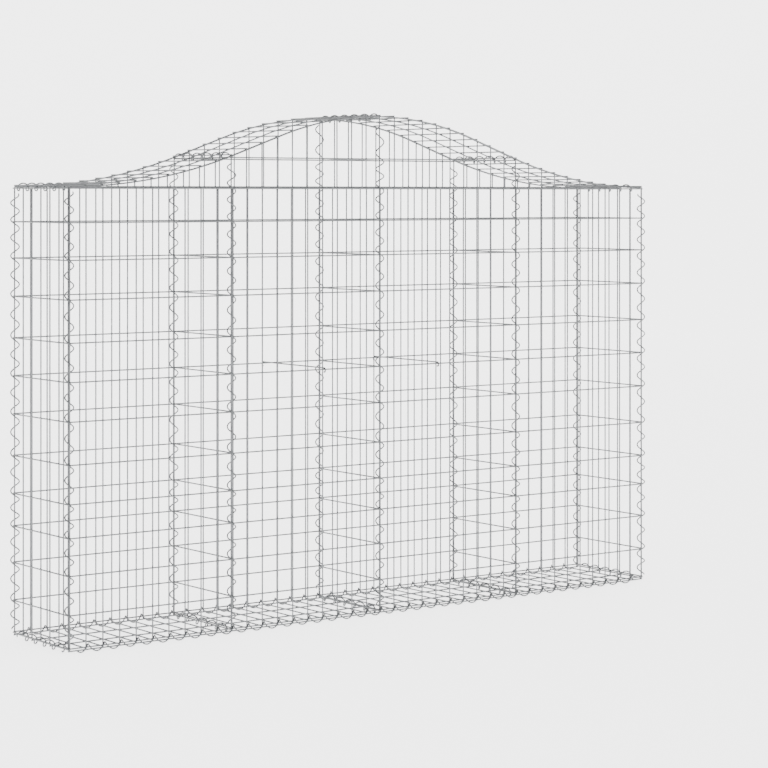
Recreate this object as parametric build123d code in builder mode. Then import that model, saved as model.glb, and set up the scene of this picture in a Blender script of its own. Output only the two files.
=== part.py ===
"""An arched gabion basket: welded wire mesh in four bays, laced together with wire spirals.

+X runs along the basket, -Y is its front and +Z is up. The origin is the middle of its underside.
"""

from build123d import *
import math
import os

os.makedirs("parts", exist_ok=True)

# Driving dimensions, in millimetres and degrees
bay_count = 4
bay_length = 500.0
basket_depth = 300.0
side_height = 1200.0
crown_rise = 200.0
crown_radius = 1000.0
arch_slope = 19.5
upright_pitch = 50.4
end_upright_pitch = 50.0
lengthwise_pitch = 100.0
mesh_wire = 4.0
lacing_wire = 3.5
lacing_diameter = 24.0
turns_between_rows = 2
tie_wire = 4.0
tie_place = 200.0
tie_row = 7
tie_hook_drop = 14.0
shortest_arch_upright = 9.0
seat_gap = 0.3

# Heights of the rows of a side, as shares of its height, and how far each bay's arch sits aside
row_shares = (0.0733, 0.1583, 0.24, 0.3133, 0.3983, 0.4917, 0.5775, 0.6625, 0.7558, 0.8417, 0.9233)
arch_shifts = (-2.5, 1.5, 4.5, 2.5)

# The angle at which each spiral passes the wires that cross it, clear of all of them: from +X on
# the upright ones, from +Y on the lengthwise ones and from +Z on those across the basket
lacing_angles = {
    "front_left_corner_lacing": 234,
    "front_right_corner_lacing": 10,
    "back_left_corner_lacing": 200,
    "back_right_corner_lacing": 232,
    "left_partition_front_lacing": 252,
    "middle_partition_front_lacing": 252,
    "right_partition_front_lacing": 252,
    "left_partition_back_lacing": 84,
    "middle_partition_back_lacing": 308,
    "right_partition_back_lacing": 308,
    "bottom_front_lacing": 144,
    "bottom_back_lacing": 36,
    "left_end_bottom_lacing": 45,
    "right_end_bottom_lacing": 135,
    "left_end_top_lacing": 32,
    "right_end_top_lacing": 132,
    "left_partition_bottom_lacing": 0,
    "middle_partition_bottom_lacing": 0,
    "right_partition_bottom_lacing": 0,
    "left_partition_top_lacing": 180,
    "middle_partition_top_lacing": 180,
    "right_partition_top_lacing": 180,
}

# Each wire is a bar of few sides with the round wire's own area
bar = mesh_wire * math.sqrt(math.pi) / 2
tie_bar = tie_wire * math.sqrt(math.pi) / 2
lacing_corner = lacing_wire * math.sqrt(math.pi / (3 * math.sqrt(3)))

# A lacing spiral has four straight runs a turn, and its inner sides leave a square hole
lacing_radius = lacing_diameter / 2
run_offset = lacing_radius - lacing_corner
hole_half = run_offset - lacing_corner
lacing_end_gap = lacing_radius + lacing_wire + seat_gap

# Planes of the wires: the partitions measure the nominal depth, and the panels stand outside them
half_length = bay_count * bay_length / 2
half_depth = basket_depth / 2
partition_upright_y = half_depth - bar / 2
arch_row_y = half_depth + bar / 2
main_upright_y = half_depth + bar / 2 + seat_gap
main_row_y = main_upright_y + bar
end_upright_x = half_length + bar / 2 + seat_gap
end_row_x = end_upright_x + bar
lid_edge_y = partition_upright_y - bar - seat_gap
mesh_foot = lacing_radius - hole_half + 2 * bar + 2 * seat_gap
side_top = mesh_foot + side_height
arch_foot = side_top + bar + seat_gap

# Places of the lacing's axes, each seated on the outer face of the wires that it ties
front_lacing_y = main_row_y + bar / 2 + seat_gap - hole_half
end_lacing_x = end_row_x + bar / 2 + seat_gap - hole_half
partition_lacing_shift = hole_half - seat_gap - 1.5 * bar
bottom_lacing_z = lacing_radius
end_top_lacing_z = arch_foot + bar + 2 * seat_gap - hole_half


def spread(reach, pitch):
    """Evenly spaced places from -reach to reach, with gaps as near to the pitch as they go."""
    gaps = round(2 * reach / pitch)
    return [reach * (2 * index / gaps - 1) for index in range(gaps + 1)]


# Places of the uprights: one at each bay line, and in each bay a set about its middle
bay_lines = [index * bay_length - half_length for index in range(bay_count + 1)]
inner_count = round(bay_length / upright_pitch) - 1
inner_places = [(index - (inner_count - 1) / 2) * upright_pitch for index in range(inner_count)]
bay_places = [[line + bay_length / 2 + inner for inner in inner_places] for line in bay_lines[:-1]]
upright_places = sorted([*bay_lines, *(x for places in bay_places for x in places)])
end_upright_places = spread(partition_upright_y, end_upright_pitch)
partition_places = bay_lines[1:-1]

# The arch: a crown arc, a straight slope and a foot arc, tangent to each other and level at the ends
slope = math.radians(arch_slope)
foot_radius = (half_length - crown_rise / math.tan(slope)) / math.tan(slope / 2) - crown_radius
crown_centre_z = arch_foot + crown_rise - crown_radius
foot_centre_z = arch_foot + foot_radius


def arch_height(x):
    """The height at x of the arch, on which the lid's cross wires lie."""
    from_end = half_length - abs(x)
    if abs(x) <= crown_radius * math.sin(slope):
        return crown_centre_z + math.sqrt(crown_radius**2 - x**2)
    if from_end <= foot_radius * math.sin(slope):
        return foot_centre_z - math.sqrt(foot_radius**2 - max(from_end, 0) ** 2)
    crown_arc_end = crown_centre_z + crown_radius * math.cos(slope)
    return crown_arc_end - (abs(x) - crown_radius * math.sin(slope)) * math.tan(slope)


def level_top(x):
    """The height at x of a level top, a bar wide, that stays under the sloping lid."""
    return arch_height(abs(x) + bar / 2)


def arch_angle(x):
    """The slope of the arch at x, in degrees, rising to the middle."""
    from_end = max(half_length - abs(x), 0)
    steepest = min(arch_slope, math.degrees(math.asin(min(1, from_end / foot_radius))))
    steepest = min(steepest, math.degrees(math.asin(min(1, abs(x) / crown_radius))))
    return -math.copysign(steepest, x)


def arched_line(overhang):
    """Draw, in the open line block, the middle of a wire that hangs under the arch."""
    low, crown, foot = arch_foot - bar / 2, crown_radius - bar / 2, foot_radius + bar / 2
    Line((-half_length - overhang, low), (-half_length, low))
    left_foot = CenterArc((-half_length, foot_centre_z), foot, -90, arch_slope)
    top = CenterArc((0, crown_centre_z), crown, 90 + arch_slope, -2 * arch_slope)
    right_foot = CenterArc((half_length, foot_centre_z), foot, -90 - arch_slope, arch_slope)
    Line(left_foot @ 1, top @ 0)
    Line(top @ 1, right_foot @ 0)
    Line((half_length, low), (half_length + overhang, low))


def finish(piece, name):
    """Label a finished piece and write it."""
    piece.part.label = name
    export_step(piece.part, f"parts/{name}.step")


# Heights of the rows of wire, from the floor
bottom_row_z = mesh_foot + bar / 2
top_row_z = side_top - bar / 2
side_rows = [bottom_row_z, *(mesh_foot + share * side_height for share in row_shares), top_row_z]
rail_z = side_top + seat_gap + bar / 2
arch_row_z = arch_height(bay_length) - bar / math.cos(slope) - seat_gap - bar / 2

# The rail ends where the arched wire comes down to it
rail_rise = bar + seat_gap
rail_reach = half_length - math.sqrt(foot_radius**2 - (foot_radius - rail_rise) ** 2)

# Front and back: a panel of uprights and rows, and over it each bay's arch piece, set inside it
for side, y_sign in (("front", -1), ("back", 1)):
    with BuildPart() as uprights:
        with Locations([(x, y_sign * main_upright_y, mesh_foot) for x in upright_places]):
            Box(bar, bar, side_height, align=(Align.CENTER, Align.CENTER, Align.MIN))
        for places, shift in zip(bay_places, arch_shifts):
            for x in places:
                arch_upright = level_top(x + shift) - side_top - seat_gap
                if arch_upright > shortest_arch_upright:
                    with Locations((x + shift, y_sign * partition_upright_y, side_top + seat_gap)):
                        Box(bar, bar, arch_upright, align=(Align.CENTER, Align.CENTER, Align.MIN))
    finish(uprights, f"{side}_uprights")

    with BuildPart() as rows:
        with Locations([(0, y_sign * main_row_y, z) for z in side_rows]):
            Box(2 * half_length + bar, bar, bar)
        with Locations((0, y_sign * arch_row_y, rail_z)):
            Box(2 * rail_reach, bar, bar)
        with Locations((0, y_sign * arch_row_y, arch_row_z)):
            Box(2 * bay_length - bar, bar, bar)
    finish(rows, f"{side}_rows")

# The arched wires that edge the arch pieces, at the front and the back
with BuildPart() as arch_edge_wires:
    for y_sign in (-1, 1):
        with BuildSketch(Plane.XZ.offset(-y_sign * arch_row_y)):
            with BuildLine():
                arched_line(bar / 2)
            trace(line_width=bar)
        extrude(amount=bar / 2, both=True)
finish(arch_edge_wires, "arch_edge_wires")

# Lid: cross wires on the arch, and curved lengthwise wires under them
with BuildPart() as lid_cross_wires:
    with BuildSketch(Plane.XZ):
        for x in upright_places:
            turn = math.radians(arch_angle(x))
            lift = seat_gap + bar / 2
            with Locations((x - lift * math.sin(turn), arch_height(x) + lift * math.cos(turn))):
                Rectangle(bar, bar, rotation=arch_angle(x))
    extrude(amount=arch_row_y + bar / 2, both=True)
finish(lid_cross_wires, "lid_cross_wires")

with BuildPart() as lid_long_wires:
    for y in spread(lid_edge_y, lengthwise_pitch):
        with BuildSketch(Plane.XZ.offset(-y)):
            with BuildLine():
                arched_line(bar + seat_gap)
            trace(line_width=bar)
        extrude(amount=bar / 2, both=True)
finish(lid_long_wires, "lid_long_wires")

# Base: cross wires under the uprights, and lengthwise wires under them
base_cross_z = mesh_foot - seat_gap - bar / 2
with BuildPart() as base_cross_wires:
    with Locations([(x, 0, base_cross_z) for x in upright_places]):
        Box(bar, 2 * main_upright_y + bar, bar)
finish(base_cross_wires, "base_cross_wires")

with BuildPart() as base_long_wires:
    with Locations([(0, y, base_cross_z - bar) for y in spread(half_depth, lengthwise_pitch)]):
        Box(2 * end_upright_x + bar, bar, bar)
finish(base_long_wires, "base_long_wires")

# End panels, with their rows on the outside
for side, x_sign in (("left", -1), ("right", 1)):
    with BuildPart() as end_uprights:
        with Locations([(x_sign * end_upright_x, y, mesh_foot) for y in end_upright_places]):
            Box(bar, bar, side_height, align=(Align.CENTER, Align.CENTER, Align.MIN))
    finish(end_uprights, f"{side}_end_uprights")

    with BuildPart() as end_rows:
        with Locations([(x_sign * end_row_x, 0, z) for z in side_rows]):
            Box(bar, basket_depth, bar)
    finish(end_rows, f"{side}_end_rows")

# Partitions: an edge upright at the front and the back, and rows between them up to the lid
partition_names = ("left_partition", "middle_partition", "right_partition")
for name, x in zip(partition_names, partition_places):
    with BuildPart() as partition_uprights:
        with Locations([(x, y_sign * partition_upright_y, mesh_foot) for y_sign in (-1, 1)]):
            Box(bar, bar, level_top(x) - mesh_foot, align=(Align.CENTER, Align.CENTER, Align.MIN))
    finish(partition_uprights, f"{name}_uprights")

    row_x = x - math.copysign(bar, x)
    partition_top_z = level_top(row_x) - bar / math.cos(slope) - seat_gap - bar / 2
    partition_rows_z = [z for z in (*side_rows, arch_row_z) if z < partition_top_z - 2 * bar]
    with BuildPart() as partition_rows:
        with Locations([(row_x, 0, z) for z in (*partition_rows_z, partition_top_z)]):
            Box(bar, basket_depth, bar)
    finish(partition_rows, f"{name}_rows")


def along(stations, share):
    """The place that lies share cells along the stations."""
    cell = min(max(math.floor(share), 0), len(stations) - 2)
    return stations[cell] + (share - cell) * (stations[cell + 1] - stations[cell])


def lacing(name, axis, stations, turns, start, end):
    """Wind a left-handed spiral round an axis, from start to end along it.

    It makes the same number of turns between each two stations, which are the places of the
    wires that it passes, and it stands at its own angle as it passes each of them.
    """
    station_angle = lacing_angles[name]
    corner = run_offset * math.sqrt(2)
    points = []
    for step in range(-4, 4 * turns * len(stations) + 4):
        angle = 45 - 90 * step
        place = along(stations, (station_angle - angle) / 360 / turns)
        if start <= place <= end:
            across = math.radians(angle)
            points.append(Vector(corner * math.cos(across), corner * math.sin(across), place))
    first_run = (points[0] + points[1]) * 0.5
    outward = axis.from_local_coords(Vector(first_run.X, first_run.Y, 0)) - axis.origin
    points = [axis.from_local_coords(point) for point in points]
    with BuildPart() as spiral:
        with BuildLine():
            Polyline(*points)
        with BuildSketch(Plane(origin=points[0], x_dir=outward, z_dir=points[1] - points[0])):
            RegularPolygon(lacing_corner, 3)
        sweep(transition=Transition.RIGHT)
    finish(spiral, name)


# Upright lacing: the corners' rows start at the mesh's foot, and the partitions' go on to the lid
for y_name, y_sign in (("front", -1), ("back", 1)):
    for x_name, x_sign in (("left", -1), ("right", 1)):
        corner_axis = Plane(origin=(x_sign * end_lacing_x, y_sign * front_lacing_y, 0))
        name = f"{y_name}_{x_name}_corner_lacing"
        top_end = top_row_z - 2 * lacing_wire
        lacing(name, corner_axis, side_rows, turns_between_rows, bottom_row_z, top_end)

    for name, x in zip(partition_names, partition_places):
        edge_axis = Plane(origin=(x, y_sign * front_lacing_y, 0))
        top_z = arch_height(x) - bar / 2
        rows_z = [*side_rows[:-1], (top_row_z + rail_z) / 2, arch_row_z]
        stations = [z for z in rows_z if z < top_z - 2 * bar] + [top_z]
        low_end = bottom_lacing_z + lacing_end_gap
        top_end = top_z - 2 * lacing_wire - 1.5 * bar
        lacing(f"{name}_{y_name}_lacing", edge_axis, stations, turns_between_rows, low_end, top_end)

# Lacing along the bottom front and back edges, one turn a cell, inside the uprights as it passes them
long_reach = end_lacing_x - lacing_end_gap
for y_name, y_sign in (("front", -1), ("back", 1)):
    edge_axis = Plane(
        origin=(0, y_sign * front_lacing_y, bottom_lacing_z), x_dir=(0, 1, 0), z_dir=(1, 0, 0)
    )
    lacing(f"bottom_{y_name}_lacing", edge_axis, upright_places, 1, -long_reach, long_reach)

# Lacing across the ends and partitions, one turn a cell
cross_reach = front_lacing_y - lacing_end_gap


def cross_lacing(name, x, z):
    """Wind a spiral from front to back at x and z."""
    axis = Plane(origin=(x, 0, z), x_dir=(0, 0, 1), z_dir=(0, 1, 0))
    lacing(name, axis, end_upright_places, 1, -cross_reach, cross_reach)


for side, x_sign in (("left", -1), ("right", 1)):
    cross_lacing(f"{side}_end_bottom_lacing", x_sign * end_lacing_x, bottom_lacing_z)
    cross_lacing(f"{side}_end_top_lacing", x_sign * end_lacing_x, end_top_lacing_z)
for name, x in zip(partition_names, partition_places):
    turned_corner = bar / 2 * math.sin(math.radians(abs(arch_angle(x))))
    top_z = arch_height(x) + bar + turned_corner + 2 * seat_gap - hole_half
    lacing_x = x + math.copysign(partition_lacing_shift, x)
    cross_lacing(f"{name}_bottom_lacing", lacing_x, bottom_lacing_z)
    cross_lacing(f"{name}_top_lacing", lacing_x, top_z)

# Ties between the front and the back, hooked over a row of wire beside an upright
tie_z = side_rows[tie_row] + bar / 2 + seat_gap + tie_bar / 2
tie_reach = main_row_y + bar / 2 + seat_gap + tie_bar / 2
for name, x_sign in (("left", -1), ("right", 1)):
    beside = min(upright_places, key=lambda x: abs(x - x_sign * tie_place))
    tie_x = beside + bar / 2 + seat_gap + tie_bar / 2
    with BuildPart() as tie:
        with BuildLine():
            Polyline(
                (tie_x, -tie_reach, tie_z - tie_hook_drop),
                (tie_x, -tie_reach, tie_z),
                (tie_x, tie_reach, tie_z),
                (tie_x, tie_reach, tie_z - tie_hook_drop),
            )
        with BuildSketch(Plane.XY.offset(tie_z - tie_hook_drop)):
            with Locations((tie_x, -tie_reach)):
                Rectangle(tie_bar, tie_bar)
        sweep(transition=Transition.RIGHT)
    finish(tie, f"{name}_tie")
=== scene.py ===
"""An arched gabion basket: round zinc-coated wires, weld nuggets, spiral lacing and hooked ties."""

import bpy
import math
import numpy as np
from bpy.props import (
    FloatProperty,
    FloatVectorProperty,
    IntProperty,
    PointerProperty,
)
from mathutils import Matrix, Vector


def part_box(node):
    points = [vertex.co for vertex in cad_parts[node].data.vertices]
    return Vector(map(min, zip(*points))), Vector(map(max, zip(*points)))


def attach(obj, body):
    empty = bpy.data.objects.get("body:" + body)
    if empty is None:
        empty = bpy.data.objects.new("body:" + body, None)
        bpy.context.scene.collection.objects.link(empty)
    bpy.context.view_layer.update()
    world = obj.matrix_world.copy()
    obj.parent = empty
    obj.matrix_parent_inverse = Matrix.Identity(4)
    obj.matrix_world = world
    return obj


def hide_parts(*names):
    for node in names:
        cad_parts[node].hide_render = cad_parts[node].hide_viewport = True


bl_info = {
    "name": "Arched Gabion Basket",
    "version": (1, 0, 0),
    "blender": (4, 5, 0),
    "location": "3D View > Sidebar > Gabion",
    "description": "Draws a welded wire mesh basket with an arched lid, laced along its edges",
    "category": "Add Mesh",
}

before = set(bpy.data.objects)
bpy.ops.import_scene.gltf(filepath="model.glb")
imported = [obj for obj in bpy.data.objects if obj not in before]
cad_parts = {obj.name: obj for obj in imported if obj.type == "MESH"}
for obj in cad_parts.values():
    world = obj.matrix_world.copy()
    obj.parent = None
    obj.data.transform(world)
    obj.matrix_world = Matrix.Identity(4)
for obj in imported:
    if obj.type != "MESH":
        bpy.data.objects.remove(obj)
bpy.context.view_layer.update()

PARTITIONS = ("left_partition", "middle_partition", "right_partition")
ACROSS_X = np.array((1.0, 0.0, 0.0))
ACROSS_Y = np.array((0.0, 1.0, 0.0))
ACROSS_Z = np.array((0.0, 0.0, 1.0))

# How finely the wires are drawn
WIRE_SIDES = 10
LACING_SIDES = 8
POINTS_PER_TURN = 28
POINTS_ALONG_ARCH = 241
# The radius of a nipped wire end, against the wire's own
NIPPED_END = 0.75

# A tie's hook: its radius and the height of its start, against the tie's bends, and its turn
HOOK_RADIUS = 0.8
HOOK_START = 1.5
HOOK_TURN = 0.72 * np.pi

# The zinc: how metallic it is, its clouds and grains to the metre, and the grain's relief
ZINC_METALLIC = 0.82
CLOUDS_PER_METRE = 9
GRAINS_PER_METRE = 900
GRAIN_RELIEF = 0.35
GRAIN_HEIGHT = 0.0002

# The floor's radius and the rise of its rim, in metres, and how finely it is drawn
FLOOR_RADIUS = 26
FLOOR_RISE = 9
FLOOR_RINGS = 33
FLOOR_SIDES = 96
# Each light's name, place, turn in degrees, width and power
LIGHTS = (
    ("key_light", (-5, -6, 7), (45, 0, -40), 5, 160),
    ("fill_light", (6, -5, 5), (55, 0, 50), 5, 60),
)


# The angle in degrees at which each spiral passes the wires that cross it, clear of all of them:
# from +X on the upright ones, from +Y on the lengthwise ones and from +Z on those across
UPRIGHT_LACING_ANGLES = {
    "front_left_corner_lacing": 234,
    "front_right_corner_lacing": 10,
    "back_left_corner_lacing": 197,
    "back_right_corner_lacing": 255,
    "left_partition_front_lacing": 252,
    "middle_partition_front_lacing": 252,
    "right_partition_front_lacing": 252,
    "left_partition_back_lacing": 226,
    "middle_partition_back_lacing": 328,
    "right_partition_back_lacing": 325,
}
LENGTHWISE_LACING_ANGLES = {"bottom_front_lacing": 132, "bottom_back_lacing": 40}
CROSS_LACING_ANGLES = {
    "left_end_bottom_lacing": 45,
    "right_end_bottom_lacing": 135,
    "left_end_top_lacing": 23,
    "right_end_top_lacing": 135,
    "left_partition_bottom_lacing": 0,
    "middle_partition_bottom_lacing": 0,
    "right_partition_bottom_lacing": 0,
    "left_partition_top_lacing": 180,
    "middle_partition_top_lacing": 180,
    "right_partition_top_lacing": 180,
}


# Where the frame's nodes lie

def low(node, axis):
    """The node's lowest place along an axis, in metres."""
    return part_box(node)[0][axis]


def high(node, axis):
    """The node's highest place along an axis, in metres."""
    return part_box(node)[1][axis]


def middle(node, axis):
    """The middle of the node along an axis, in metres."""
    return (low(node, axis) + high(node, axis)) / 2


def bar_width():
    """The width of the frame's bars, which stand for the wires."""
    return high("base_cross_wires", 2) - low("base_cross_wires", 2)


def coil_axis(node, axis, diameter):
    """Where a coil's axis lies across another axis: against the outer side of the frame's one.

    A coil at a partition keeps the middle of the frame's one along X.
    """
    if axis == 0 and "partition" in node:
        return middle(node, 0)
    if axis == 2 and "bottom" in node or axis < 2 and middle(node, axis) < 0:
        return low(node, axis) + diameter / 2
    return high(node, axis) - diameter / 2


def depths(node):
    """How far from the middle the inner and the outer layer of a panel's wires lie along Y."""
    faces = sorted((abs(low(node, 1)), abs(high(node, 1))))
    return faces[0] + bar_width() / 2, faces[1] - bar_width() / 2


# Sizes and colours that a user would change

class GabionMeshSizes(bpy.types.PropertyGroup):
    """Sizes of the welded mesh panels."""

    wire: FloatProperty(
        name="Mesh wire", description="Diameter of the mesh wire", default=0.004, unit="LENGTH"
    )
    bay_length: FloatProperty(
        name="Bay length", description="Length of one bay", default=0.5, unit="LENGTH"
    )
    bays: IntProperty(name="Bays", description="How many bays there are", default=4)
    upright_pitch: FloatProperty(
        name="Upright pitch",
        description="Distance between the uprights inside a bay",
        default=0.0504,
        unit="LENGTH",
    )
    end_upright_pitch: FloatProperty(
        name="End upright pitch",
        description="Distance between the uprights of the ends",
        default=0.05,
        unit="LENGTH",
    )
    lengthwise_pitch: FloatProperty(
        name="Lengthwise pitch",
        description="Distance between the lengthwise wires of the base and the lid",
        default=0.1,
        unit="LENGTH",
    )
    row_shares: FloatVectorProperty(
        name="Row heights",
        description="Heights of the rows between the lowest and uppermost, as shares of the sides",
        size=11,
        default=(
            0.0733, 0.1583, 0.24, 0.3133, 0.3983, 0.4917, 0.5775, 0.6625, 0.7558, 0.8417, 0.9233,
        ),
    )
    arch_shifts: FloatVectorProperty(
        name="Arch shifts",
        description="How far each bay's uprights over the sides stand aside of those below",
        size=4,
        default=(-0.0025, 0.0015, 0.0045, 0.0025),
        unit="LENGTH",
    )
    shortest_arch_upright: FloatProperty(
        name="Shortest arch upright",
        description="Length under which an upright over the sides is left out",
        default=0.009,
        unit="LENGTH",
    )
    crown_rise: FloatProperty(
        name="Crown rise",
        description="Height of the crown over the sides",
        default=0.2,
        unit="LENGTH",
    )
    crown_radius: FloatProperty(
        name="Crown radius", description="Radius of the lid's crown", default=1.0, unit="LENGTH"
    )
    arch_slope: FloatProperty(
        name="Arch slope",
        description="Slope of the straight part of the lid",
        default=math.radians(19.5),
        subtype="ANGLE",
    )
    weld_size: FloatProperty(
        name="Weld size",
        description="Width of a weld nugget against the wire's diameter",
        default=1.22,
        subtype="FACTOR",
    )


class GabionLacingSizes(bpy.types.PropertyGroup):
    """Sizes of the spiral lacing and the ties."""

    wire: FloatProperty(
        name="Lacing wire", description="Diameter of the lacing wire", default=0.0037, unit="LENGTH"
    )
    upright_diameter: FloatProperty(
        name="Upright spiral diameter",
        description="Outer diameter of the spirals up the corners and partitions",
        default=0.0265,
        unit="LENGTH",
    )
    edge_diameter: FloatProperty(
        name="Edge spiral diameter",
        description="Outer diameter of the spirals along and across the basket",
        default=0.024,
        unit="LENGTH",
    )
    turns_between_rows: IntProperty(
        name="Turns between rows", description="Turns of an upright spiral to a cell", default=2
    )
    end_turn: FloatProperty(
        name="End turn",
        description="How far a spiral's last wire is bent in at its ends",
        default=0.0022,
        unit="LENGTH",
    )
    tie_wire: FloatProperty(
        name="Tie wire", description="Diameter of the tie wire", default=0.004, unit="LENGTH"
    )
    tie_bend: FloatProperty(
        name="Tie bend", description="Radius of the tie's bends", default=0.005, unit="LENGTH"
    )


class GabionFinish(bpy.types.PropertyGroup):
    """Colours of the zinc coating."""

    mesh_zinc: FloatVectorProperty(
        name="Mesh zinc",
        description="Colour of the mesh wire",
        subtype="COLOR",
        size=3,
        min=0,
        max=1,
        default=(0.155, 0.16, 0.165),
    )
    lacing_zinc: FloatVectorProperty(
        name="Lacing zinc",
        description="Colour of the lacing and tie wire",
        subtype="COLOR",
        size=3,
        min=0,
        max=1,
        default=(0.11, 0.115, 0.12),
    )
    weld_zinc: FloatVectorProperty(
        name="Weld zinc",
        description="Colour of the zinc over the welds",
        subtype="COLOR",
        size=3,
        min=0,
        max=1,
        default=(0.18, 0.185, 0.19),
    )
    spangle: FloatProperty(
        name="Spangle", description="Size of the zinc's crystals", default=0.006, unit="LENGTH"
    )


class GabionStage(bpy.types.PropertyGroup):
    """The floor, the light and the camera."""

    floor_colour: FloatVectorProperty(
        name="Floor",
        description="Colour of the floor",
        subtype="COLOR",
        size=3,
        min=0,
        max=1,
        default=(0.95, 0.95, 0.95),
    )
    floor_glow: FloatProperty(
        name="Floor glow", description="How strongly the floor is lit from below", default=3.0
    )
    sky_glow: FloatProperty(
        name="Sky glow", description="How strongly the white sky shines", default=1.0
    )
    camera_place: FloatVectorProperty(
        name="Camera place",
        description="Where the camera stands",
        size=3,
        default=(-4.058, -5.682, 1.1968),
        subtype="XYZ",
        unit="LENGTH",
    )
    camera_turn: FloatProperty(
        name="Camera turn",
        description="How far the camera is turned from the basket's back",
        default=math.radians(36.3617),
        subtype="ANGLE",
    )
    lens: FloatProperty(
        name="Lens", description="Focal length of the camera", default=113.16, unit="CAMERA"
    )
    lens_shift: FloatProperty(
        name="Lens shift",
        description="How far the picture lies over the lens's axis",
        default=-0.2479,
    )


# Meshes from arrays

def add_piece(name, parts, material, nodes=()):
    """Make one mesh of several grids and caps, and hang it on the frame.

    Each part is (points, quads, caps): points is n by 3, quads is m by 4 and caps is k by s.
    """
    offset, points, corners, starts, smooth, count = 0, [], [], [], [], 0
    for part_points, quads, caps in parts:
        points.append(part_points)
        for polygons, is_smooth in ((quads, True), (caps, False)):
            if len(polygons) == 0:
                continue
            corners.append((polygons + offset).ravel())
            starts.append(count + np.arange(len(polygons)) * polygons.shape[1])
            smooth.append(np.full(len(polygons), is_smooth))
            count += polygons.size
        offset += len(part_points)
    points, corners = np.concatenate(points), np.concatenate(corners)
    starts, smooth = np.concatenate(starts), np.concatenate(smooth)
    mesh = bpy.data.meshes.new(name)
    mesh.vertices.add(len(points))
    mesh.loops.add(len(corners))
    mesh.polygons.add(len(starts))
    mesh.vertices.foreach_set("co", points.astype(np.float32).ravel())
    mesh.loops.foreach_set("vertex_index", corners.astype(np.int32))
    mesh.polygons.foreach_set("loop_start", starts.astype(np.int32))
    mesh.polygons.foreach_set("use_smooth", smooth)
    mesh.update(calc_edges=True)
    mesh.validate()
    mesh.materials.append(material)
    piece = bpy.data.objects.new(name, mesh)
    bpy.context.scene.collection.objects.link(piece)
    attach(piece, "root")
    if nodes:
        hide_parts(*nodes)
    return piece


def tubes(paths, sides_out, radii, segments):
    """Round wires along paths.

    A wire's surface is its path plus its radius times (cos v of a vector that points square out
    of the path, plus sin v of that vector's cross product with the path's direction), with v
    round the wire. paths and sides_out are wires by points by 3, and radii is one for each
    point. Both ends are closed with flat caps.
    """
    wires, stops = paths.shape[:2]
    ahead = np.gradient(paths, axis=1)
    ahead /= np.linalg.norm(ahead, axis=2, keepdims=True)
    sides_out = sides_out - ahead * (sides_out * ahead).sum(axis=2, keepdims=True)
    sides_out /= np.linalg.norm(sides_out, axis=2, keepdims=True)
    upward = np.cross(ahead, sides_out)
    v = np.arange(segments) * 2 * np.pi / segments
    ring = sides_out[:, :, None] * np.cos(v)[:, None] + upward[:, :, None] * np.sin(v)[:, None]
    points = paths[:, :, None] + ring * np.asarray(radii)[None, :, None, None]
    index = np.arange(wires * stops * segments).reshape(wires, stops, segments)
    turned = np.roll(index, -1, axis=2)
    quads = np.stack((index[:, :-1], turned[:, :-1], turned[:, 1:], index[:, 1:]), axis=-1)
    caps = np.concatenate((index[:, 0, ::-1], index[:, -1]))
    return points.reshape(-1, 3), quads.reshape(-1, 4), caps


def straight_wires(starts, ends, side, wire):
    """Straight round wires from starts to ends, nipped at both over a third of their radius.

    A wire's points are its start plus shares of the way to its end.
    """
    starts, ends = np.broadcast_arrays(np.atleast_2d(starts), np.atleast_2d(ends))
    length = np.linalg.norm(ends - starts, axis=1)
    nip = (wire / 6 / length)[:, None]
    shares = np.concatenate((0 * nip, nip, 0 * nip + 0.5, 1 - nip, 0 * nip + 1), axis=1)[:, :, None]
    paths = starts[:, None] + (ends - starts)[:, None] * shares
    sides_out = np.broadcast_to(side, paths.shape)
    radii = np.array((NIPPED_END, 1, 1, 1, NIPPED_END)) * wire / 2
    return tubes(paths, sides_out, radii, WIRE_SIDES)


def beads(centres, radii, rings=6, segments=8):
    """Small squashed balls: radius times (sin u cos v, sin u sin v, cos u), with closed poles.

    centres is n by 3, and radii is one ball's half sizes along X, Y and Z.
    """
    u = np.arange(1, rings) * np.pi / rings
    v = np.arange(segments) * 2 * np.pi / segments
    u, v = np.meshgrid(u, v, indexing="ij")
    ball = np.stack((np.sin(u) * np.cos(v), np.sin(u) * np.sin(v), np.cos(u)), axis=-1)
    ball = np.concatenate((ball.reshape(-1, 3), ((0, 0, 1), (0, 0, -1)))) * radii
    grid = np.arange((rings - 1) * segments).reshape(rings - 1, segments)
    turned = np.roll(grid, -1, axis=1)
    walls = np.stack((grid[:-1], grid[1:], turned[1:], turned[:-1]), axis=-1).reshape(-1, 4)
    top, bottom = len(ball) - 2, len(ball) - 1
    upper = np.stack((grid[0], turned[0], np.full(segments, top)), axis=-1)
    lower = np.stack((turned[-1], grid[-1], np.full(segments, bottom)), axis=-1)
    shift = (np.arange(len(centres)) * len(ball))[:, None, None]
    points = (centres[:, None] + ball[None]).reshape(-1, 3)
    walls = (walls[None] + shift).reshape(-1, 4)
    poles = (np.concatenate((upper, lower))[None] + shift).reshape(-1, 3)
    return [(points, walls, poles)]


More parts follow.
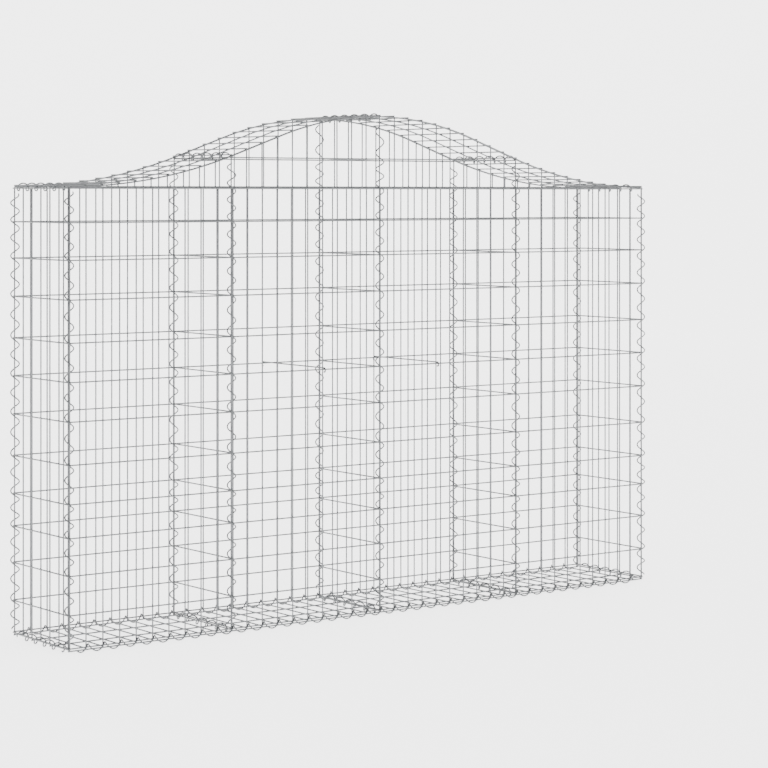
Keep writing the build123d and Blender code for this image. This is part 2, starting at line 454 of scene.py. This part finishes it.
def spiral(axis_place, axis, outward, stations, turns, station_angle, ends, diameter, lacing):
    """A left-handed round coil between two ends along an axis.

    Its centreline is the axis plus the coil's radius times (cos t of the outward vector plus
    sin t of the vector square to it). t falls by the same number of turns between each two
    stations and is station_angle at each. The last quarter turn at each end is bent in.
    """
    stations = np.asarray(stations)
    shares = np.arange(len(stations), dtype=float)
    first, last = np.interp(ends, stations, shares)
    count = int(math.ceil((last - first) * turns * POINTS_PER_TURN)) + 1
    share = np.linspace(first, last, count)
    place = np.interp(share, shares, stations)
    t = math.radians(station_angle) - 2 * np.pi * turns * share
    from_end = np.minimum(share - first, last - share) * turns
    bent_in = lacing.end_turn * np.clip(1 - from_end / 0.25, 0, 1) ** 2
    radius = (diameter - lacing.wire) / 2 - bent_in
    square = np.cross(axis, outward)
    out = np.cos(t)[:, None] * outward + np.sin(t)[:, None] * square
    path = np.asarray(axis_place) + place[:, None] * axis + radius[:, None] * out
    radii = np.full(count, lacing.wire / 2)
    radii[[0, -1]] *= NIPPED_END
    return tubes(path[None], out[None], radii, LACING_SIDES)


# The arch of the lid

def foot_radius(sizes):
    """The radius of the arcs at the arch's feet, which makes them meet the straight slopes."""
    half, slope = sizes.bays * sizes.bay_length / 2, sizes.arch_slope
    return (half - sizes.crown_rise / math.tan(slope)) / math.tan(slope / 2) - sizes.crown_radius


def arch(x, sizes):
    """The arch's rise at x, and its slope there.

    A crown arc, a straight slope and a foot arc follow each other, tangent where they meet.
    """
    half = sizes.bays * sizes.bay_length / 2
    slope, crown, foot = sizes.arch_slope, sizes.crown_radius, foot_radius(sizes)
    across = np.minimum(np.abs(x), half)
    crown_rise = sizes.crown_rise - crown + np.sqrt(crown**2 - np.minimum(across, crown) ** 2)
    foot_rise = foot - np.sqrt(foot**2 - np.minimum(half - across, foot) ** 2)
    crown_end = crown * math.sin(slope)
    straight_top = sizes.crown_rise - crown * (1 - math.cos(slope))
    straight = straight_top - (across - crown_end) * math.tan(slope)
    on_crown, on_foot = across <= crown_end, half - across <= foot * math.sin(slope)
    rise = np.where(on_crown, crown_rise, np.where(on_foot, foot_rise, straight))
    angle = np.where(
        on_crown,
        np.arcsin(np.minimum(across / crown, 1)),
        np.where(on_foot, np.arcsin(np.minimum((half - across) / foot, 1)), slope),
    )
    return rise, -np.sign(x) * angle


def arch_foot():
    """The height at which the arch's line starts at the ends."""
    return low("arch_edge_wires", 2) + bar_width()


def over_arch(x, lift, sizes):
    """Places that lie lift above the arch, square to it: x moves back and z up with the slope."""
    rise, angle = arch(x, sizes)
    return x - lift * np.sin(angle), arch_foot() + rise + lift * np.cos(angle)


def arched_wires(ys, reach, lift, sizes):
    """Round wires that follow the arch from end to end, lift above its line, at each of ys."""
    along = np.linspace(-reach, reach, POINTS_ALONG_ARCH)
    x, z = over_arch(along, lift, sizes)
    path = np.stack((x, np.zeros_like(along), z), axis=1)
    paths = path[None] + line_points(0, ys, 0)[:, None]
    radii = np.full(len(along), sizes.wire / 2)
    radii[[0, -1]] *= NIPPED_END
    return tubes(paths, np.broadcast_to(ACROSS_Y, paths.shape), radii, WIRE_SIDES)


# Places of the wires

def spread(reach, pitch):
    """Evenly spaced places from -reach to reach, with gaps as near to the pitch as they go."""
    return np.linspace(-reach, reach, round(2 * reach / pitch) + 1)


def bay_places(sizes):
    """Where the uprights inside each bay stand along X, set about its middle: bays by uprights."""
    count = round(sizes.bay_length / sizes.upright_pitch) - 1
    middles = (np.arange(sizes.bays) + 0.5 - sizes.bays / 2) * sizes.bay_length
    return middles[:, None] + (np.arange(count) - (count - 1) / 2) * sizes.upright_pitch


def upright_places(sizes):
    """Where the front's and back's uprights stand along X: on the bay lines and inside the bays."""
    lines = (np.arange(sizes.bays + 1) - sizes.bays / 2) * sizes.bay_length
    return np.sort(np.concatenate((lines, bay_places(sizes).ravel())))


def end_upright_places(sizes):
    """Where the uprights of the ends stand along Y."""
    return spread(high("left_end_uprights", 1) - bar_width() / 2, sizes.end_upright_pitch)


def side_rows(sizes):
    """Heights of the rows' centres from the lowest to the row at the sides' top."""
    foot, top, half_bar = low("front_uprights", 2), high("left_end_uprights", 2), bar_width() / 2
    between = foot + np.array(sizes.row_shares[:]) * (top - foot)
    return np.concatenate(((foot + half_bar,), between, (top - half_bar,)))


def arch_row_height():
    """The height of the short row across the arched part."""
    return high("front_rows", 2) - bar_width() / 2


def line_points(xs, ys, zs):
    """Every combination of the places along X, Y and Z, as n by 3."""
    return np.stack(np.meshgrid(xs, ys, zs, indexing="ij"), axis=-1).reshape(-1, 3)


# Materials

def zinc(name, colour, darker, roughness, finish, crystals=0.5):
    """Zinc on drawn wire: crystals a few millimetres wide, dulled by soft clouds and fine grain.

    darker is the darkest zinc's share of the colour, and crystals the crystals' share of the look.
    """
    material = bpy.data.materials.new(name)
    material.use_nodes = True
    nodes, links = material.node_tree.nodes, material.node_tree.links
    shader = nodes["Principled BSDF"]
    shader.inputs["Metallic"].default_value = ZINC_METALLIC
    place = nodes.new("ShaderNodeTexCoord")
    cells = nodes.new("ShaderNodeTexVoronoi")
    cells.inputs["Scale"].default_value = 1 / finish.spangle
    cells.inputs["Randomness"].default_value = 0.9
    clouds = nodes.new("ShaderNodeTexNoise")
    clouds.inputs["Scale"].default_value = CLOUDS_PER_METRE
    clouds.inputs["Detail"].default_value = 4
    grain = nodes.new("ShaderNodeTexNoise")
    grain.inputs["Scale"].default_value = GRAINS_PER_METRE
    grain.inputs["Detail"].default_value = 3
    for texture in (cells, clouds, grain):
        links.new(place.outputs["Object"], texture.inputs["Vector"])
    blend = nodes.new("ShaderNodeMix")
    blend.data_type = "FLOAT"
    blend.inputs["Factor"].default_value = crystals
    links.new(clouds.outputs["Fac"], blend.inputs["A"])
    links.new(cells.outputs["Color"], blend.inputs["B"])
    tone = nodes.new("ShaderNodeValToRGB")
    tone.color_ramp.elements[0].position = 0.25
    tone.color_ramp.elements[0].color = (*(darker * part for part in colour), 1)
    tone.color_ramp.elements[1].position = 0.75
    tone.color_ramp.elements[1].color = (*colour, 1)
    links.new(blend.outputs["Result"], tone.inputs["Fac"])
    links.new(tone.outputs["Color"], shader.inputs["Base Color"])
    rough = nodes.new("ShaderNodeMapRange")
    rough.inputs["To Min"].default_value = roughness - 0.08
    rough.inputs["To Max"].default_value = roughness + 0.12
    links.new(blend.outputs["Result"], rough.inputs["Value"])
    links.new(rough.outputs["Result"], shader.inputs["Roughness"])
    bump = nodes.new("ShaderNodeBump")
    bump.inputs["Strength"].default_value = GRAIN_RELIEF
    bump.inputs["Distance"].default_value = GRAIN_HEIGHT
    links.new(grain.outputs["Fac"], bump.inputs["Height"])
    links.new(bump.outputs["Normal"], shader.inputs["Normal"])
    return material


def mesh_material(scene):
    """The zinc of the mesh wire."""
    name = "mesh_zinc"
    return bpy.data.materials.get(name) or zinc(
        name, scene.gabion_finish.mesh_zinc, 0.72, 0.42, scene.gabion_finish
    )


def lacing_material(scene):
    """The zinc of the lacing and tie wire, a little darker."""
    name = "lacing_zinc"
    return bpy.data.materials.get(name) or zinc(
        name, scene.gabion_finish.lacing_zinc, 0.7, 0.36, scene.gabion_finish
    )


def weld_material(scene):
    """The dull zinc over a weld."""
    name = "weld_zinc"
    return bpy.data.materials.get(name) or zinc(
        name, scene.gabion_finish.weld_zinc, 0.6, 0.5, scene.gabion_finish, 0.25
    )


class GabionOperator:
    """What the operators share: the sizes, and how a panel's welds are drawn."""

    bl_options = {"REGISTER", "UNDO"}

    def welds(self, context, name, centres, squashed_axis):
        """Weld nuggets at the crossings, flatter along the axis in which the wires lie apart."""
        sizes = context.scene.gabion_mesh
        radii = np.full(3, sizes.wire * sizes.weld_size / 2)
        radii[squashed_axis] *= 0.92
        add_piece(name, beads(centres, radii), weld_material(context.scene))


class GABION_OT_front_and_back(GabionOperator, bpy.types.Operator):
    """Draw the front and back panels, and inside them the pieces that fill the arch."""

    bl_idname = "gabion.front_and_back"
    bl_label = "Front and Back Panels"

    def execute(self, context):
        sizes = context.scene.gabion_mesh
        material = mesh_material(context.scene)
        half_bar = bar_width() / 2
        foot, side_top = low("front_uprights", 2), high("left_end_uprights", 2)
        xs, rows, reach = upright_places(sizes), side_rows(sizes), high("front_rows", 0)

        # The arch piece stands on the sides: its rail ends where the arched edge comes down to it
        arch_bottom, rail_z = arch_foot() - 2 * half_bar, arch_foot() - half_bar
        arch_row_z = arch_row_height()
        arch_xs = (bay_places(sizes) + np.array(sizes.arch_shifts[:])[:, None]).ravel()
        tops = arch_foot() + arch(np.abs(arch_xs) + half_bar, sizes)[0]
        kept = tops - arch_bottom > sizes.shortest_arch_upright
        arch_xs, tops = arch_xs[kept], tops[kept]
        radius, rise = foot_radius(sizes), arch_foot() - side_top
        rail_reach = sizes.bays * sizes.bay_length / 2 - math.sqrt(2 * radius * rise - rise**2)
        arch_row_reach = sizes.bay_length - half_bar
        edge_x, edge_z = over_arch(arch_xs, -half_bar, sizes)
        under_row = arch_xs[np.abs(arch_xs) < arch_row_reach]

        arch_upright_y, upright_y = depths("front_uprights")
        arch_row_y, row_y = depths("front_rows")
        for side, sign in (("front", -1), ("back", 1)):
            uprights = straight_wires(
                line_points(xs, sign * upright_y, foot),
                line_points(xs, sign * upright_y, side_top),
                ACROSS_Y,
                sizes.wire,
            )
            level = np.full_like(arch_xs, sign * arch_upright_y)
            arch_uprights = straight_wires(
                np.stack((arch_xs, level, np.full_like(arch_xs, arch_bottom)), axis=1),
                np.stack((arch_xs, level, tops), axis=1),
                ACROSS_Y,
                sizes.wire,
            )
            name, node = f"{side}_upright_wires", f"{side}_uprights"
            add_piece(name, [uprights, arch_uprights], material, [node])

            rights = np.concatenate((
                line_points(reach, sign * row_y, rows),
                line_points(rail_reach, sign * arch_row_y, rail_z),
                line_points(arch_row_reach, sign * arch_row_y, arch_row_z),
            ))
            row_wires = straight_wires(rights * (-1, 1, 1), rights, ACROSS_Y, sizes.wire)
            add_piece(f"{side}_row_wires", [row_wires], material, [f"{side}_rows"])

            weld_y = sign * (arch_upright_y + arch_row_y) / 2
            centres = np.concatenate((
                line_points(xs, sign * (upright_y + row_y) / 2, rows),
                line_points(arch_xs, weld_y, rail_z),
                line_points(under_row, weld_y, arch_row_z),
                np.stack((edge_x, np.full_like(edge_x, weld_y), edge_z), axis=1),
            ))
            self.welds(context, f"{side}_welds", centres, 1)
        return {"FINISHED"}


class GABION_OT_ends(GabionOperator, bpy.types.Operator):
    """Draw the left and right end panels, with their rows outside."""

    bl_idname = "gabion.ends"
    bl_label = "End Panels"

    def execute(self, context):
        sizes = context.scene.gabion_mesh
        material = mesh_material(context.scene)
        ys = end_upright_places(sizes)
        rows = side_rows(sizes)
        for side in ("left", "right"):
            x, row_x = middle(f"{side}_end_uprights", 0), middle(f"{side}_end_rows", 0)
            bottom, top = low(f"{side}_end_uprights", 2), high(f"{side}_end_uprights", 2)
            reach = high(f"{side}_end_rows", 1)
            uprights = straight_wires(
                line_points(x, ys, bottom), line_points(x, ys, top), ACROSS_Y, sizes.wire
            )
            add_piece(
                f"{side}_end_upright_wires",
                [uprights],
                material,
                [f"{side}_end_uprights"],
            )
            row_wires = straight_wires(
                line_points(row_x, -reach, rows),
                line_points(row_x, reach, rows),
                ACROSS_X,
                sizes.wire,
            )
            add_piece(
                f"{side}_end_row_wires", [row_wires], material, [f"{side}_end_rows"]
            )
            self.welds(context, f"{side}_end_welds", line_points((x + row_x) / 2, ys, rows), 0)
        return {"FINISHED"}


class GABION_OT_partitions(GabionOperator, bpy.types.Operator):
    """Draw the partitions between the bays: two edge uprights each, and rows."""

    bl_idname = "gabion.partitions"
    bl_label = "Partitions"

    def execute(self, context):
        sizes = context.scene.gabion_mesh
        material = mesh_material(context.scene)
        half_bar = bar_width() / 2
        lower_rows = np.append(side_rows(sizes), arch_row_height())
        for name in PARTITIONS:
            uprights, rows = f"{name}_uprights", f"{name}_rows"
            x, row_x = middle(uprights, 0), middle(rows, 0)
            ys = np.array((-1, 1)) * (high(uprights, 1) - half_bar)
            upright_wires = straight_wires(
                line_points(x, ys, low(uprights, 2)),
                line_points(x, ys, high(uprights, 2)),
                ACROSS_Y,
                sizes.wire,
            )
            add_piece(f"{name}_upright_wires", [upright_wires], material, [uprights])
            top = high(rows, 2) - half_bar
            zs = np.append(lower_rows[lower_rows < top - 4 * half_bar], top)
            reach = high(rows, 1)
            row_wires = straight_wires(
                line_points(row_x, -reach, zs), line_points(row_x, reach, zs), ACROSS_X, sizes.wire
            )
            add_piece(f"{name}_row_wires", [row_wires], material, [rows])
            self.welds(context, f"{name}_welds", line_points((x + row_x) / 2, ys, zs), 0)
        return {"FINISHED"}


class GABION_OT_base(GabionOperator, bpy.types.Operator):
    """Draw the base: cross wires under the uprights, and lengthwise wires under them."""

    bl_idname = "gabion.base"
    bl_label = "Base"

    def execute(self, context):
        sizes = context.scene.gabion_mesh
        material = mesh_material(context.scene)
        xs = upright_places(sizes)
        ys = spread(high("base_long_wires", 1) - bar_width() / 2, sizes.lengthwise_pitch)
        cross_z, long_z = middle("base_cross_wires", 2), middle("base_long_wires", 2)
        reach = high("base_cross_wires", 1)
        cross = straight_wires(
            line_points(xs, -reach, cross_z), line_points(xs, reach, cross_z), ACROSS_X, sizes.wire
        )
        add_piece("base_cross_round_wires", [cross], material, ["base_cross_wires"])
        reach = high("base_long_wires", 0)
        long = straight_wires(
            line_points(-reach, ys, long_z), line_points(reach, ys, long_z), ACROSS_Y, sizes.wire
        )
        add_piece("base_long_round_wires", [long], material, ["base_long_wires"])
        self.welds(context, "base_welds", line_points(xs, ys, (cross_z + long_z) / 2), 2)
        return {"FINISHED"}


class GABION_OT_lid(GabionOperator, bpy.types.Operator):
    """Draw the arched lid, cross wires over curved lengthwise ones, and the arch's edge wires."""

    bl_idname = "gabion.lid"
    bl_label = "Arched Lid"

    def execute(self, context):
        sizes = context.scene.gabion_mesh
        material = mesh_material(context.scene)
        half_bar, gap = bar_width() / 2, arch_foot() - bar_width() - high("left_end_uprights", 2)
        xs = upright_places(sizes)
        ys = spread(high("lid_long_wires", 1) - half_bar, sizes.lengthwise_pitch)
        reach = high("lid_cross_wires", 1)
        cross_x, cross_z = over_arch(xs, gap + half_bar, sizes)
        starts = np.stack((cross_x, np.full_like(xs, -reach), cross_z), axis=1)
        cross = straight_wires(starts, starts * (1, -1, 1), ACROSS_X, sizes.wire)
        add_piece("lid_cross_round_wires", [cross], material, ["lid_cross_wires"])

        edge_ys = np.array((-1, 1)) * (high("arch_edge_wires", 1) - half_bar)
        for node, places in (("lid_long_wires", ys), ("arch_edge_wires", edge_ys)):
            wires = arched_wires(places, high(node, 0), -half_bar, sizes)
            name = node.replace("wires", "round_wires")
            add_piece(name, [wires], material, [node])

        weld_x, weld_z = over_arch(xs, gap / 2, sizes)
        centres = np.repeat(np.stack((weld_x, 0 * weld_x, weld_z), axis=1), len(ys), axis=0)
        centres[:, 1] = np.tile(ys, len(xs))
        self.welds(context, "lid_welds", centres, 2)
        return {"FINISHED"}


class GABION_OT_upright_lacing(GabionOperator, bpy.types.Operator):
    """Wind the spirals up the corners and up the partitions' front and back edges."""

    bl_idname = "gabion.upright_lacing"
    bl_label = "Upright Lacing"

    def execute(self, context):
        sizes, lacing = context.scene.gabion_mesh, context.scene.gabion_lacing
        material = lacing_material(context.scene)
        half_bar, rows, diameter = bar_width() / 2, side_rows(sizes), lacing.upright_diameter
        # The row at the sides' top and the rail on it are passed together
        passed = np.append(rows, arch_row_height())
        passed[-2] = (rows[-1] + arch_foot() - half_bar) / 2
        for node, angle in UPRIGHT_LACING_ANGLES.items():
            stations = rows
            if "corner" not in node:
                top = arch_foot() + arch(np.array(middle(node, 0)), sizes)[0] - half_bar
                stations = np.append(passed[passed < top - 4 * half_bar], top)
            coil = spiral(
                (coil_axis(node, 0, diameter), coil_axis(node, 1, diameter), 0),
                ACROSS_Z,
                ACROSS_X,
                stations,
                lacing.turns_between_rows,
                angle,
                (low(node, 2) + lacing.wire / 2, high(node, 2) - lacing.wire / 2),
                diameter,
                lacing,
            )
            add_piece(f"{node}_spiral", [coil], material, [node])
        return {"FINISHED"}


class GABION_OT_edge_lacing(GabionOperator, bpy.types.Operator):
    """Wind the spirals along the bottom edges, and across the ends and partitions."""

    bl_idname = "gabion.edge_lacing"
    bl_label = "Edge Lacing"

    def execute(self, context):
        sizes, lacing = context.scene.gabion_mesh, context.scene.gabion_lacing
        material = lacing_material(context.scene)
        jobs = [
            (node, ACROSS_X, ACROSS_Y, upright_places(sizes), angle)
            for node, angle in LENGTHWISE_LACING_ANGLES.items()
        ]
        jobs += [
            (node, ACROSS_Y, ACROSS_Z, end_upright_places(sizes), angle)
            for node, angle in CROSS_LACING_ANGLES.items()
        ]
        for node, axis, outward, stations, angle in jobs:
            run, diameter = int(np.argmax(axis)), lacing.edge_diameter
            place = np.array([coil_axis(node, side, diameter) for side in range(3)]) * (1 - axis)
            coil = spiral(
                place,
                axis,
                outward,
                stations,
                1,
                angle,
                (low(node, run) + lacing.wire / 2, high(node, run) - lacing.wire / 2),
                diameter,
                lacing,
            )
            add_piece(f"{node}_spiral", [coil], material, [node])
        return {"FINISHED"}


class GABION_OT_ties(GabionOperator, bpy.types.Operator):
    """Draw the ties from the front to the back, hooked over a row at both ends."""

    bl_idname = "gabion.ties"
    bl_label = "Ties"

    def execute(self, context):
        lacing = context.scene.gabion_lacing
        bend = lacing.tie_bend
        for node in ("left_tie", "right_tie"):
            half_bar = (high(node, 0) - low(node, 0)) / 2
            reach, height = high(node, 1) - half_bar, high(node, 2) - half_bar
            # Half the tie from its middle out: a straight run, a bend down and a hook curled in
            run = np.stack((np.linspace(0, reach - bend, 12), np.full(12, height)), axis=1)
            t = np.linspace(0, np.pi / 2, 9)[1:]
            bend_y = reach - bend + bend * np.sin(t)
            bend_z = height - bend + bend * np.cos(t)
            bend_down = np.stack((bend_y, bend_z), axis=1)
            t = np.linspace(0, HOOK_TURN, 10)
            curl = HOOK_RADIUS * bend
            hook_y = reach - curl + curl * np.cos(t)
            hook_z = height - HOOK_START * bend - curl * np.sin(t)
            hook = np.stack((hook_y, hook_z), axis=1)
            half = np.concatenate((run, bend_down, hook))
            both = np.concatenate((half[::-1] * (-1, 1), half[1:]))
            path = np.stack((np.full(len(both), middle(node, 0)), both[:, 0], both[:, 1]), axis=1)
            radii = np.full(len(path), lacing.tie_wire / 2)
            radii[[0, -1]] *= NIPPED_END
            sides_out = np.broadcast_to(ACROSS_X, path[None].shape)
            wire = tubes(path[None], sides_out, radii, WIRE_SIDES)
            add_piece(f"{node}_wire", [wire], lacing_material(context.scene), [node])
        return {"FINISHED"}


class GABION_OT_stage(GabionOperator, bpy.types.Operator):
    """Set out the pale floor, the soft light and the camera."""

    bl_idname = "gabion.stage"
    bl_label = "Floor, Light and Camera"

    def execute(self, context):
        scene, stage = context.scene, context.scene.gabion_stage
        # The floor is a bowl: its radius times u times (cos v, sin v), flat to half its radius and
        # from there as high as the rim's rise times the share of the way out, to the power of 2.5
        u = np.linspace(0, 1, FLOOR_RINGS)
        v = np.arange(FLOOR_SIDES) * 2 * np.pi / FLOOR_SIDES
        u, v = np.meshgrid(u, v, indexing="ij")
        radius = FLOOR_RADIUS * u
        rise = FLOOR_RISE * np.clip((u - 0.5) / 0.5, 0, 1) ** 2.5
        points = np.stack((radius * np.cos(v), radius * np.sin(v), rise), axis=-1).reshape(-1, 3)
        grid = np.arange(FLOOR_RINGS * FLOOR_SIDES).reshape(FLOOR_RINGS, FLOOR_SIDES)
        turned = np.roll(grid, -1, axis=1)
        quads = np.stack((grid[:-1], grid[1:], turned[1:], turned[:-1]), axis=-1).reshape(-1, 4)
        mesh = bpy.data.meshes.new("floor")
        mesh.from_pydata(points.tolist(), [], quads.tolist())
        mesh.polygons.foreach_set("use_smooth", np.ones(len(quads), dtype=bool))
        floor = bpy.data.objects.new("floor", mesh)
        material = bpy.data.materials.new("pale_floor")
        material.use_nodes = True
        shader = material.node_tree.nodes["Principled BSDF"]
        shader.inputs["Base Color"].default_value = (*stage.floor_colour, 1)
        shader.inputs["Roughness"].default_value = 0.9
        shader.inputs["Emission Color"].default_value = (*stage.floor_colour, 1)
        shader.inputs["Emission Strength"].default_value = stage.floor_glow
        mesh.materials.append(material)
        scene.collection.objects.link(floor)

        world = bpy.data.worlds.new("studio")
        world.use_nodes = True
        sky = world.node_tree.nodes["Background"]
        sky.inputs["Color"].default_value = (1, 1, 1, 1)
        sky.inputs["Strength"].default_value = stage.sky_glow
        scene.world = world
        for name, place, turn, size, power in LIGHTS:
            light = bpy.data.lights.new(name, "AREA")
            light.size = size
            light.energy = power
            lamp = bpy.data.objects.new(name, light)
            lamp.location = place
            lamp.rotation_euler = [math.radians(angle) for angle in turn]
            scene.collection.objects.link(lamp)

        lens = bpy.data.cameras.new("camera")
        lens.sensor_width = 36
        lens.lens = stage.lens
        lens.shift_y = stage.lens_shift
        lens.clip_end = 200
        camera = bpy.data.objects.new("camera", lens)
        camera.location = stage.camera_place
        camera.rotation_euler = (math.pi / 2, 0, -stage.camera_turn)
        scene.collection.objects.link(camera)
        scene.camera = camera
        return {"FINISHED"}


class GABION_PT_panel(bpy.types.Panel):
    """The gabion basket's sizes and buttons."""

    bl_idname = "GABION_PT_panel"
    bl_label = "Gabion Basket"
    bl_space_type = "VIEW_3D"
    bl_region_type = "UI"
    bl_category = "Gabion"

    def draw(self, context):
        layout = self.layout
        for group in ("gabion_mesh", "gabion_lacing", "gabion_finish", "gabion_stage"):
            settings = getattr(context.scene, group)
            box = layout.box()
            for prop in settings.bl_rna.properties:
                if prop.identifier not in ("rna_type", "name"):
                    box.prop(settings, prop.identifier)
        for operator in OPERATORS:
            layout.operator(operator.bl_idname)


GROUPS = {
    "gabion_mesh": GabionMeshSizes,
    "gabion_lacing": GabionLacingSizes,
    "gabion_finish": GabionFinish,
    "gabion_stage": GabionStage,
}
OPERATORS = (
    GABION_OT_front_and_back,
    GABION_OT_ends,
    GABION_OT_partitions,
    GABION_OT_base,
    GABION_OT_lid,
    GABION_OT_upright_lacing,
    GABION_OT_edge_lacing,
    GABION_OT_ties,
    GABION_OT_stage,
)


def register():
    """Add the classes and the scene's settings to Blender."""
    for group in GROUPS.values():
        bpy.utils.register_class(group)
    for name, group in GROUPS.items():
        setattr(bpy.types.Scene, name, PointerProperty(type=group))
    for operator in OPERATORS:
        bpy.utils.register_class(operator)
    bpy.utils.register_class(GABION_PT_panel)


def unregister():
    """Take the classes and the settings out again."""
    bpy.utils.unregister_class(GABION_PT_panel)
    for operator in reversed(OPERATORS):
        bpy.utils.unregister_class(operator)
    for name, group in GROUPS.items():
        delattr(bpy.types.Scene, name)
        bpy.utils.unregister_class(group)


def main():
    """Draw the basket piece by piece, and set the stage."""
    register()
    for operator in OPERATORS:
        getattr(bpy.ops.gabion, operator.bl_idname.split(".")[1])()


if __name__ == "__main__":
    main()
